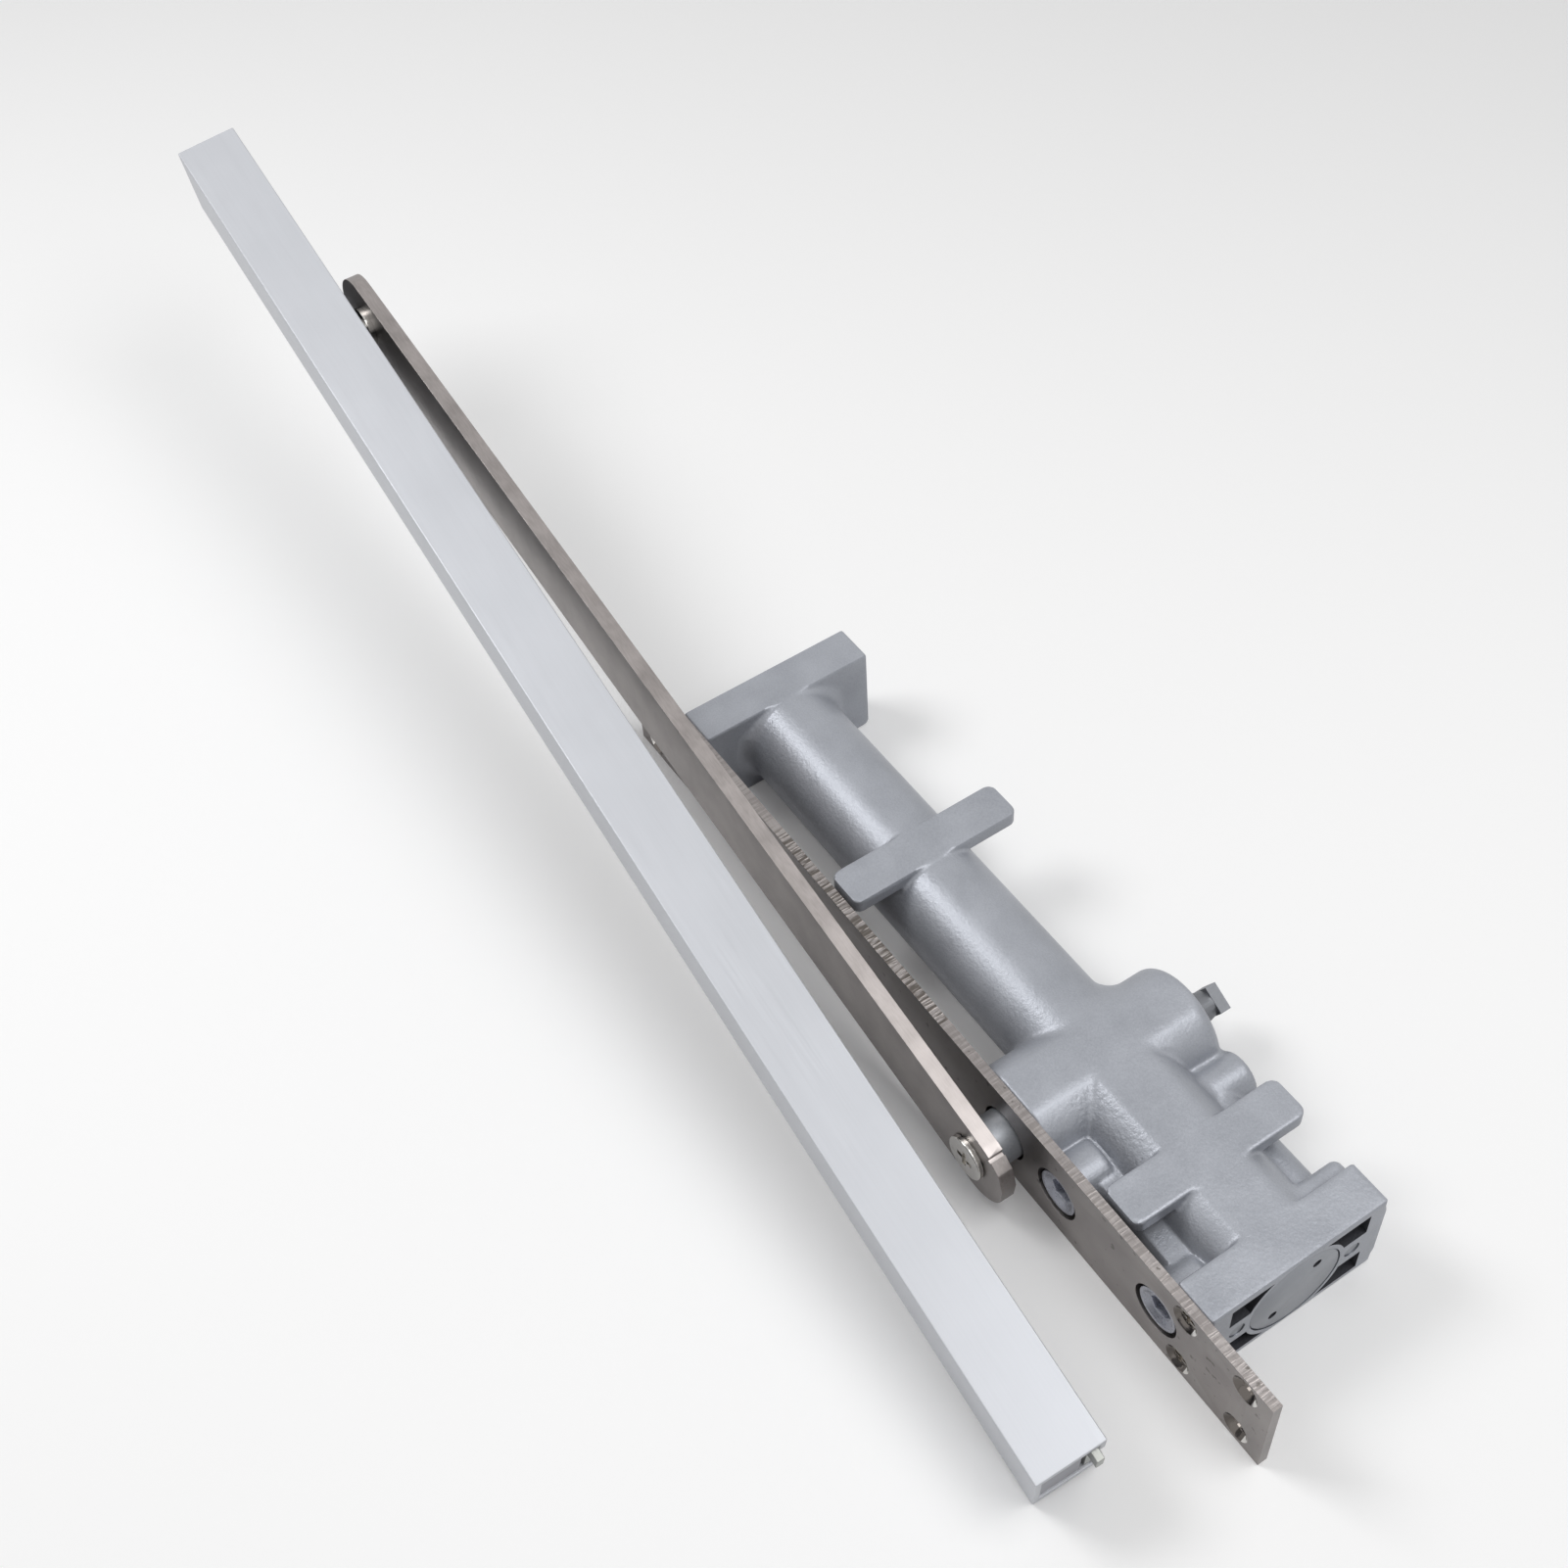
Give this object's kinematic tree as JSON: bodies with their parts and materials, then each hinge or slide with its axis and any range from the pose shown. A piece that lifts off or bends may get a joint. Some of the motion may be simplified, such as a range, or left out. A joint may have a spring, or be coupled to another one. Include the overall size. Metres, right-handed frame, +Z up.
{
  "type": "hydraulic door closer",
  "caption": "Concealed hydraulic door closer: cast body with a piston and return spring behind a face plate, swinging arm, and a guide track on the arm's slider.",
  "frame": {"origin": "middle of the four mounting holes, on the face plate's inner face, which seats on the door", "axes": "+X along the face plate towards the valve end, +Y from the plate into the closer body, +Z up across the plate as it lies in the picture"},
  "size_m": [0.5178, 0.1275, 0.1112],
  "materials": {
    "casting": "satin grey cast",
    "plate_steel": "brushed",
    "arm_steel": "brushed",
    "track_metal": "satin anodised",
    "nickel": "polished",
    "steel": "machined",
    "plug_metal": "satin",
    "valve_metal": "satin",
    "spring_steel": "oiled",
    "rubber": "matt",
    "nylon": "matt",
    "clamp_metal": "satin",
    "stop_plastic": "matt"
  },
  "bodies": {
    "closer_body": {"housing": "casting", "face_plate": "plate_steel", "plate_screws": "nickel", "end_plug": "plug_metal", "end_plug_ring": "rubber", "channel_plugs": "steel", "front_bearing": "steel", "rear_bearing": "steel", "front_seal": "rubber", "rear_seal": "rubber", "gland": "steel", "spring_seat": "steel"},
    "arm_set": {"spindle": "steel", "arm": "arm_steel", "arm_screw": "nickel", "arm_washer": "nickel", "guide_pin": "nickel"},
    "piston_set": {"piston": "steel", "piston_ring": "rubber", "check_ball": "steel", "check_cap": "steel", "return_spring": "spring_steel"},
    "slider_set": {"slider": "nylon"},
    "track_set": {"track": "track_metal", "stop_blocks": "stop_plastic", "clamp_plates": "clamp_metal", "set_screws": "steel"},
    "closing_valve_set": {"closing_valve": "valve_metal", "closing_valve_ring": "rubber"},
    "latching_valve_set": {"latching_valve": "valve_metal", "latching_valve_ring": "rubber"}
  },
  "joints": [
    {"name": "arm_turn", "type": "hinge", "parent": "closer_body", "child": "arm_set", "pos_m": [0.043, 0, 0], "axis": [0, 1, 0], "range_deg": [0, 120]},
    {"name": "piston_slide", "type": "slide", "parent": "closer_body", "child": "piston_set", "axis": [1, 0, 0], "range_m": [-0.0158, 0], "deforming": ["return_spring"]},
    {"name": "slider_turn", "type": "hinge", "parent": "arm_set", "child": "slider_set", "pos_m": [-0.28003, -0.0175, 0.06748], "axis": [0, 1, 0], "range_deg": [-100, 100]},
    {"name": "track_slide", "type": "slide", "parent": "slider_set", "child": "track_set", "axis": [-0.9851, 0.0439, 0.1663], "range_m": [-0.05, 0.37]},
    {"name": "closing_valve_turn", "type": "hinge", "parent": "closer_body", "child": "closing_valve_set", "pos_m": [0.065, 0, 0], "axis": [0, 1, 0], "range_deg": [-180, 180]},
    {"name": "latching_valve_turn", "type": "hinge", "parent": "closer_body", "child": "latching_valve_set", "pos_m": [0.1047, 0, 0], "axis": [0, 1, 0], "range_deg": [-180, 180]}
  ],
  "couplings": [
    {"joint": "piston_slide", "follows": "arm_turn", "m_per_rad": -0.0075}
  ]
}
